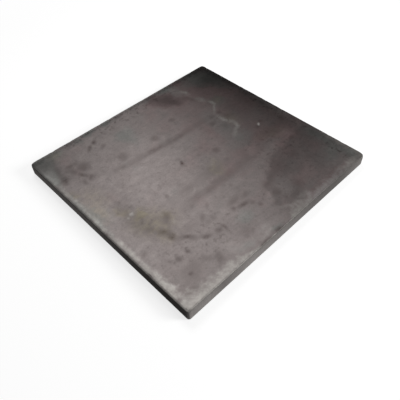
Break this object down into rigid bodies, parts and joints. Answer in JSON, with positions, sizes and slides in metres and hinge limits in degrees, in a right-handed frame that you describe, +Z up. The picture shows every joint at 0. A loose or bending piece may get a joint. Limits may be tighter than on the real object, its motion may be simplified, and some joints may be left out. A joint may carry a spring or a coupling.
{
  "type": "steel plate",
  "caption": "Flat square-cut plate of hot rolled steel with worn mill scale, blunted corners and eased arrises, kept as raw stock for cutting, drilling or welding.",
  "frame": {"origin": "middle of the underside, on the plane that the plate rests on", "axes": "+X along the longer side, +Y along the shorter side, +Z up through the thickness"},
  "size_m": [0.3, 0.285, 0.016],
  "materials": {
    "mill_scale_steel": "worn mill scale, brown grey, rubbed to bare grey steel along the arrises"
  },
  "bodies": {
    "root": {"steel_plate": "mill_scale_steel"}
  },
  "joints": []
}
